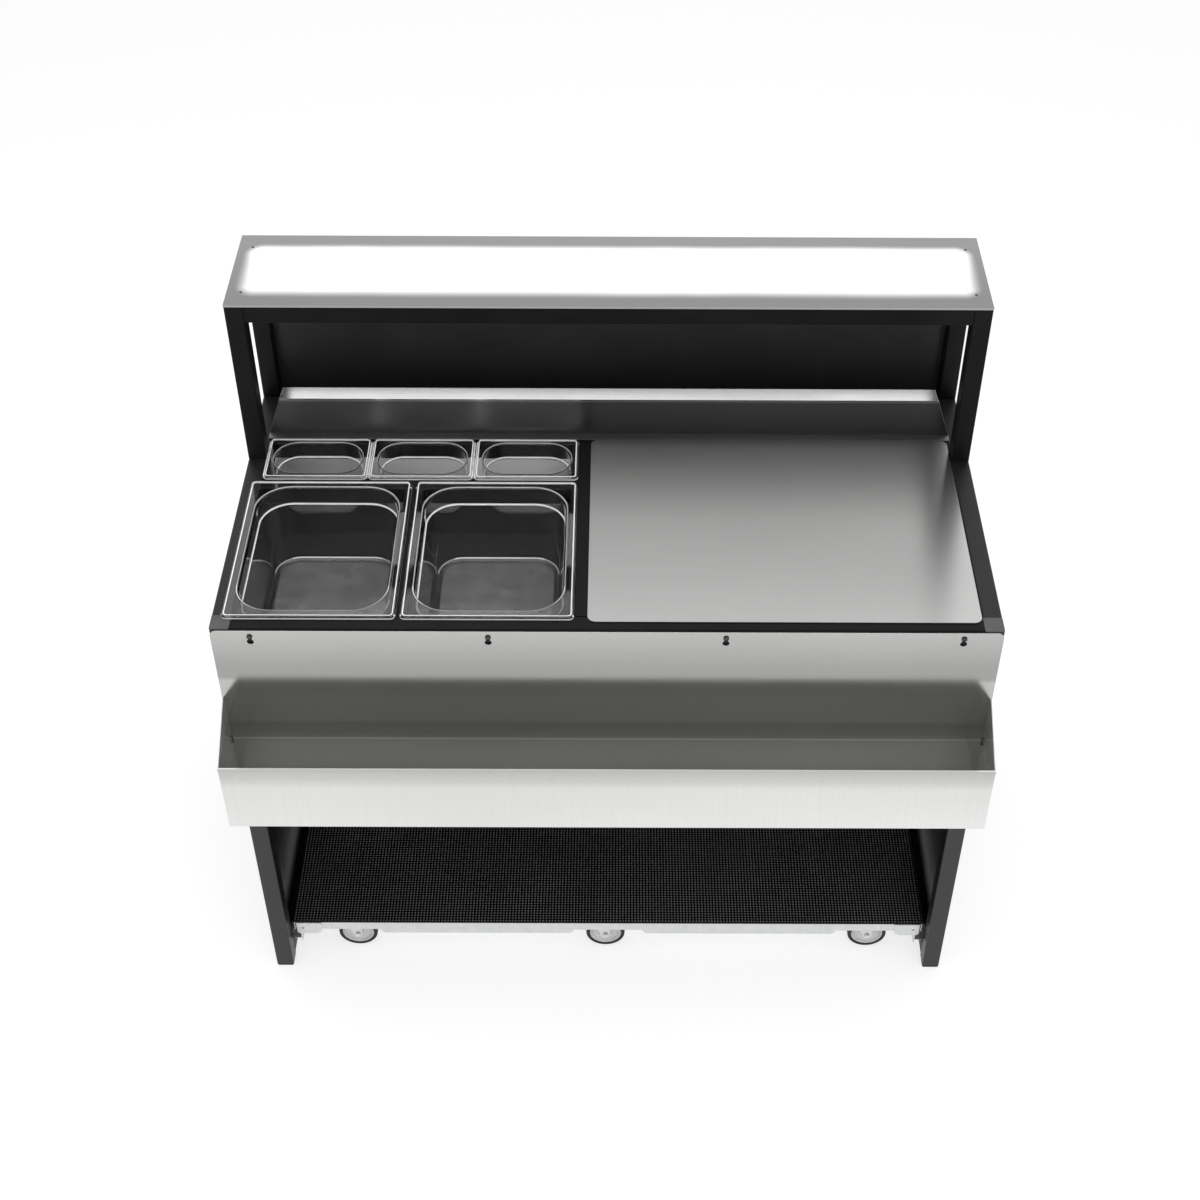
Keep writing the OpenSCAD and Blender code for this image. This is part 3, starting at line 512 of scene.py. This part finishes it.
# ---------------------------------------------------------------- pans
def pan(name, x0, w, y0, d, h, rim, mouth, shoulder):
    """A lift-out pan w by d by h with its corner at x0, y0: `rim` is the width of its flange,
    `mouth` the corner radius of its opening and `shoulder` the depth of its stacking step. One
    skin runs from the outer floor up, over the rim and down the inside."""
    wall, top, lip, ease, step = 2.5, 5.5, 3.0, 3.5, 1.5
    in_w, in_d = w - 2 * rim - 2 * wall, d - 2 * rim - 2 * wall
    draft, bend, flare = h * 0.068, 10.0, rim / 3
    bm = bmesh.new()
    rings, looks = [], []

    def add(cw, cd, r, z, look=BODY):
        rings.append(ring(cw, cd, max(min(r, cd / 2 - 0.4), 0.3), z))
        looks.append(look)

    def bowl(grow, z_low, z_top, up):
        """Rings of the tapered body between its floor and the step; each row ends in a mark:
        the angle round the bottom edge, or minus the share of the height."""
        rows = []
        low_w, low_d = in_w - 2 * step - 2 * draft, in_d - 2 * step - 2 * draft
        low_r = mouth - step - 0.8 * draft
        for a in (90, 75, 60, 48, 34, 18, 0):
            inset = (bend + grow) * (1 - math.cos(math.radians(a)))
            rows.append((low_w + 2 * grow - 2 * inset, low_d + 2 * grow - 2 * inset,
                         low_r + grow - inset,
                         z_low + (bend + grow) * (1 - math.sin(math.radians(a))), a))
        for k in (0.5, 1.0):
            rows.append((in_w - 2 * step - 2 * draft * (1 - k) + 2 * grow,
                         in_d - 2 * step - 2 * draft * (1 - k) + 2 * grow,
                         low_r + (mouth - step - low_r) * k + grow,
                         z_low + bend + (z_top - z_low - bend) * k, -k))
        for *row, mark in (rows if up else rows[::-1]):
            add(*row, EDGE_HIGHLIGHT if mark in (-1, 48) and not up else BODY)

    # Outside: body, stacking step, collar and the underside of the rim.
    bowl(wall, -h, -shoulder - 0.4, True)
    looks[0] = BASE
    out_w, out_d, out_r = in_w + 2 * wall, in_d + 2 * wall, mouth + wall
    add(out_w - 0.6, out_d - 0.6, out_r, -shoulder)
    add(out_w, out_d, out_r, -shoulder + 0.6)
    add(out_w, out_d, out_r, top - wall - 1.6)
    add(out_w + 0.8, out_d + 0.8, out_r, top - wall - 0.5)
    add(out_w + 2.6, out_d + 2.6, out_r, top - wall)
    add(w - 2 * lip - 2.0, d - 2 * lip - 2.0, 6.5, top - wall)
    add(w - 2 * lip, d - 2 * lip, 6.5, top - wall - 0.8)
    add(w - 2 * lip, d - 2 * lip, 6.5, 0.3)
    add(w - 2 * lip + 0.6, d - 2 * lip + 0.6, 6.8, 0.0)
    # The turned-down lip, its eased outer edge and the top of the rim.
    add(w - 0.8, d - 0.8, 8.8, 0.0, EDGE_HIGHLIGHT)
    add(w, d, 9, 0.4, EDGE_HIGHLIGHT)
    add(w, d, 9, 3.0, EDGE_HIGHLIGHT)
    for a in (25, 45, 65, 90):
        c, s = math.cos(math.radians(a)), math.sin(math.radians(a))
        add(w - 2 * ease * (1 - c), d - 2 * ease * (1 - c), 9 - ease * (1 - c),
            3.0 + (top - 3.0) * s)
    add(w - 2 * ease - 0.6, d - 2 * ease - 0.6, 5.4, top)
    add(w - 2 * ease - 4.0, d - 2 * ease - 4.0, 4.6, top - 0.1, EDGE_HIGHLIGHT)
    # Inside: eased mouth, collar, step and body.
    for a, look in ((0, BODY), (13, BODY), (31, DIM_HIGHLIGHT), (48, BODY), (68, BODY), (90, BODY)):
        c, s = math.cos(math.radians(a)), math.sin(math.radians(a))
        grow = 2 * flare * (1 - s)
        add(in_w + grow, in_d + grow, mouth + grow / 2, top - flare * 1.3 * (1 - c), look)
    low = -shoulder + wall
    add(in_w, in_d, mouth, low + 2.4)
    add(in_w, in_d, mouth, low + 0.3, EDGE_HIGHLIGHT)
    add(in_w - 0.8, in_d - 0.8, mouth, low, EDGE_HIGHLIGHT)
    bowl(0, -h + wall, low, False)
    loft(bm, rings, (x0 + w / 2, y0 + d / 2, COUNTER_Z), looks)

    # Painted highlights: round the floor only the back edge is bright, and round the mouth only
    # the front edge.
    deep = pt(0, 0, COUNTER_Z - 48).z
    back, near = pt(0, y0 + d * 0.72, 0).y, pt(0, y0 + d * 0.25, 0).y
    middle, straight = pt(x0 + w / 2, 0, 0).x, (in_w / 2 - mouth * 0.7) / 1000
    for f in bm.faces:
        mid = f.calc_center_median()
        if f.material_index == EDGE_HIGHLIGHT and mid.z < deep:
            f.material_index = (BODY if mid.y < back else
                                EDGE_HIGHLIGHT if abs(mid.x - middle) < straight else DIM_HIGHLIGHT)
        elif f.material_index == DIM_HIGHLIGHT and mid.y < near:
            f.material_index = EDGE_HIGHLIGHT
    bmesh.ops.recalc_face_normals(bm, faces=bm.faces)
    finish_mesh(bm, "clear_" + name, CLEAR, name, name, angle=50)


for i in range(2):
    pan(f"large_pan_{i + 1}", -586 + 271 * i, 265, 20, 325, 140, 16.5, 52, 31)
for i in range(3):
    pan(f"small_pan_{i + 1}", -569.5 + 173.5 * i, 172.5, 353, 105, 95, 11.5, 38, 27)

# ---------------------------------------------------------------- metalwork
TUBES = ["front_legs", "rear_legs", "upper_side_rails", "lower_side_rails", "counter_front_rail",
         "counter_rear_rail", "lower_rear_rail", "gantry_posts", "gantry_front_rail",
         "gantry_rear_rail", "gantry_side_rails", "inset_cross_bars", "inset_long_bars"]
# Each tube takes the copy of the black paint whose painted light and shade suits where it stands.
for node in TUBES:
    tube_coat = {"upper_side_rails": SIDE, "front_legs": LEGS}.get(
        node, UPPER if node.startswith("gantry") else BLACK)
    eased(node, tube_coat, "frame", 0.35)
for node, mat in (("upper_back_panel", PANEL), ("lower_back_panel", PANEL), ("side_panels", SKIN)):
    eased(node, mat, "frame", 0.3)
eased("rear_deck", BLACK, "frame", 0.3)
eased("leg_caps", CAP, "frame", 0.5)
eased("leg_feet", FOOT, "frame", 0.5)
eased("cover_plate", STEEL_TOP, "cover_plate", 0.35)
eased("speed_rail", STEEL_RAIL, "speed_rail", 0.3)
eased("splash_ledge", STEEL_LEDGE, "frame", 0.35)
eased("light_panel", OPAL, "frame", 0.5)
eased("light_tray", PAINTED_GLOW, "frame", 0.3)
eased("light_strips", STRIP, "frame", 0.3)
eased("pan_well", WELL_STEEL, "frame", 0.3)
eased("ice_well", ICE_STEEL, "frame", 0.3)
for node in ("shelf_edges", "shelf_deck", "shelf_brackets", "shelf_bolts", "caster_mounts"):
    eased(node, ZINC, "frame", 0.3)
eased("shelf_mat", MAT, "frame", 0.8, segments=3)
eased("rail_studs", DARK, "frame", 0.2)
eased("panel_screws", DARK, "frame", 0.2)
eased("light_panel_screws", DARK, "frame", 0.15)

# ---------------------------------------------------------------- casters
# Half sections as (radius, distance from the wheel's middle plane), from the bore outwards for
# the hub and from the tread inwards for the tyre.
HUB_HALF = [(4.05, 13.5), (8.4, 13.5), (9.0, 12.9), (9.6, 9.4), (10.4, 8.7), (12.0, 8.5),
            (20.5, 8.5), (21.8, 8.9), (22.6, 9.8), (23.2, 12.6), (23.7, 13.2), (24.6, 13.2),
            (25.1, 12.7), (25.5, 11.6), (26.2, 11.3), (27.6, 11.3), (28.4, 11.0)]
TYRE_HALF = [(35 - 3.2 * (1 - math.cos(math.radians(a))), 9.3 + 3.2 * math.sin(math.radians(a)))
             for a in range(0, 91, 15)] + [(29.6, 12.5), (28.8, 12.3), (28.5, 11.8)]


def wheel_part(name, half, x, y, mat, k, node):
    bm = bmesh.new()
    lathe(bm, half + [(r, -v) for r, v in reversed(half)], (x + TRAIL, y, AXLE_Z))
    bmesh.ops.recalc_face_normals(bm, faces=bm.faces)
    finish_mesh(bm, name, [mat], f"wheel_{k}", node, angle=40)


CASTERS = [(x, y) for y in (60, 530) for x in (-463, -13, 463)]
for k, (x, y) in enumerate(CASTERS, 1):
    eased(f"caster_fork_{k}", ZINC, f"caster_{k}", 0.35)
    wheel_part(f"wheel_body_{k}", HUB_HALF, x, y, HUB, k, f"caster_hub_{k}")
    wheel_part(f"wheel_tread_{k}", TYRE_HALF, x, y, TYRE, k, f"caster_tyre_{k}")

# ---------------------------------------------------------------- stage, light, camera
FLOOR_Z, FLOOR_HALF = -0.0005, 30
floor_mesh = bpy.data.meshes.new("floor")
floor_mesh.from_pydata([(sx * FLOOR_HALF, sy * FLOOR_HALF, FLOOR_Z)
                        for sx, sy in ((-1, -1), (1, -1), (1, 1), (-1, 1))], [], [(0, 1, 2, 3)])
floor = bpy.data.objects.new("floor", floor_mesh)
bpy.context.scene.collection.objects.link(floor)
fs = Shade("floor_paper", (0.80, 0.80, 0.80), 0.9, spec=0.1)
fs.tint(fs.ramp(fs.noise(3, detail=2), 0, 1, 0.3, 0.7), (0.79, 0.79, 0.79), (0.81, 0.81, 0.81))
# Where it is seen, the floor is white paper that still takes the object's shadow.
white_paper = fs.node("ShaderNodeEmission")
white_paper.inputs["Color"].default_value = (1, 1, 1, 1)
white_paper.inputs["Strength"].default_value = 0.68
shaded = fs.node("ShaderNodeBsdfDiffuse")
shaded.inputs["Color"].default_value = (0.5, 0.5, 0.5, 1)
paper = fs.node("ShaderNodeAddShader")
fs.link(white_paper.outputs[0], paper.inputs[0])
fs.link(shaded.outputs[0], paper.inputs[1])
ray = fs.node("ShaderNodeLightPath")
shown = fs.math("MAXIMUM", ray.outputs["Is Camera Ray"],
                fs.math("MAXIMUM", ray.outputs["Is Glossy Ray"],
                        ray.outputs["Is Transmission Ray"]))
fs.link(mix_shaders(fs.tree, shown, fs.bsdf.outputs[0], paper.outputs[0]),
        fs.out.inputs["Surface"])
floor_mesh.materials.append(fs.mat)

world = bpy.data.worlds.new("studio")
bpy.context.scene.world = world
world.use_nodes = True
wt = world.node_tree


def background(strength):
    n = new_node(wt, "ShaderNodeBackground")
    n.inputs["Color"].default_value = (1, 1, 1, 1)
    n.inputs["Strength"].default_value = strength
    return n


# Metal and plastic mirror a bright sweep behind the counter and a dim room in front of it.
way = new_node(wt, "ShaderNodeTexCoord")
parts = new_node(wt, "ShaderNodeSeparateXYZ")
wt.links.new(way.outputs["Generated"], parts.inputs[0])
room = new_node(wt, "ShaderNodeMapRange", interpolation_type="SMOOTHSTEP")
for key, value in (("From Min", -0.45), ("From Max", 0.25), ("To Min", 0.12), ("To Max", 1.0)):
    room.inputs[key].default_value = value
wt.links.new(parts.outputs[1], room.inputs["Value"])
mirrored = background(1.0)
wt.links.new(room.outputs["Result"], mirrored.inputs["Strength"])
plain = wt.nodes["Background"]
plain.inputs["Color"].default_value = (1, 1, 1, 1)
plain.inputs["Strength"].default_value = 0.5
rays = new_node(wt, "ShaderNodeLightPath")
clear_ray = new_node(wt, "ShaderNodeMath", operation="MAXIMUM")
wt.links.new(rays.outputs["Is Camera Ray"], clear_ray.inputs[0])
wt.links.new(rays.outputs["Is Transmission Ray"], clear_ray.inputs[1])
unseen = mix_shaders(wt, rays.outputs["Is Glossy Ray"], plain.outputs[0], mirrored.outputs[0])
seen_sky = mix_shaders(wt, clear_ray.outputs[0], unseen, background(1.0).outputs[0])
wt.links.new(seen_sky, wt.nodes["World Output"].inputs["Surface"])


def area(name, at, look, size, watts):
    """A soft lamp that lights the object and isn't mirrored in it."""
    data = bpy.data.lights.new(name, "AREA")
    data.shape = "RECTANGLE"
    data.size, data.size_y = size
    data.energy = watts
    obj = bpy.data.objects.new(name, data)
    obj.location = at
    obj.rotation_euler = (Vector(look) - Vector(at)).to_track_quat("-Z", "Y").to_euler()
    obj.visible_glossy = False
    bpy.context.scene.collection.objects.link(obj)


area("top_light", (0.0, -0.2, 3.6), (0, 0, 0.8), (3.4, 2.4), 55)
area("front_light", (0.55, -3.2, 2.0), (0, 0, 0.6), (3.0, 2.0), 30)

# The camera was solved from the straight edges in the photo.
cam_data = bpy.data.cameras.new("camera")
cam_data.lens = 55.756
cam_data.sensor_width = 36.0
cam_data.sensor_fit = "HORIZONTAL"
cam_data.shift_x = -0.01947
cam_data.clip_end = 200
cam = bpy.data.objects.new("camera", cam_data)
cam.location = (0.01963, -2.27082, 2.78788)
cam.rotation_euler = (Matrix.Rotation(math.radians(-0.1342), 3, "Z")
                      @ Matrix.Rotation(math.radians(47.0346), 3, "X")
                      @ Matrix.Rotation(math.radians(0.2935), 3, "Z")).to_euler()
bpy.context.scene.collection.objects.link(cam)
bpy.context.scene.camera = cam
bpy.context.scene.view_settings.view_transform = "Standard"
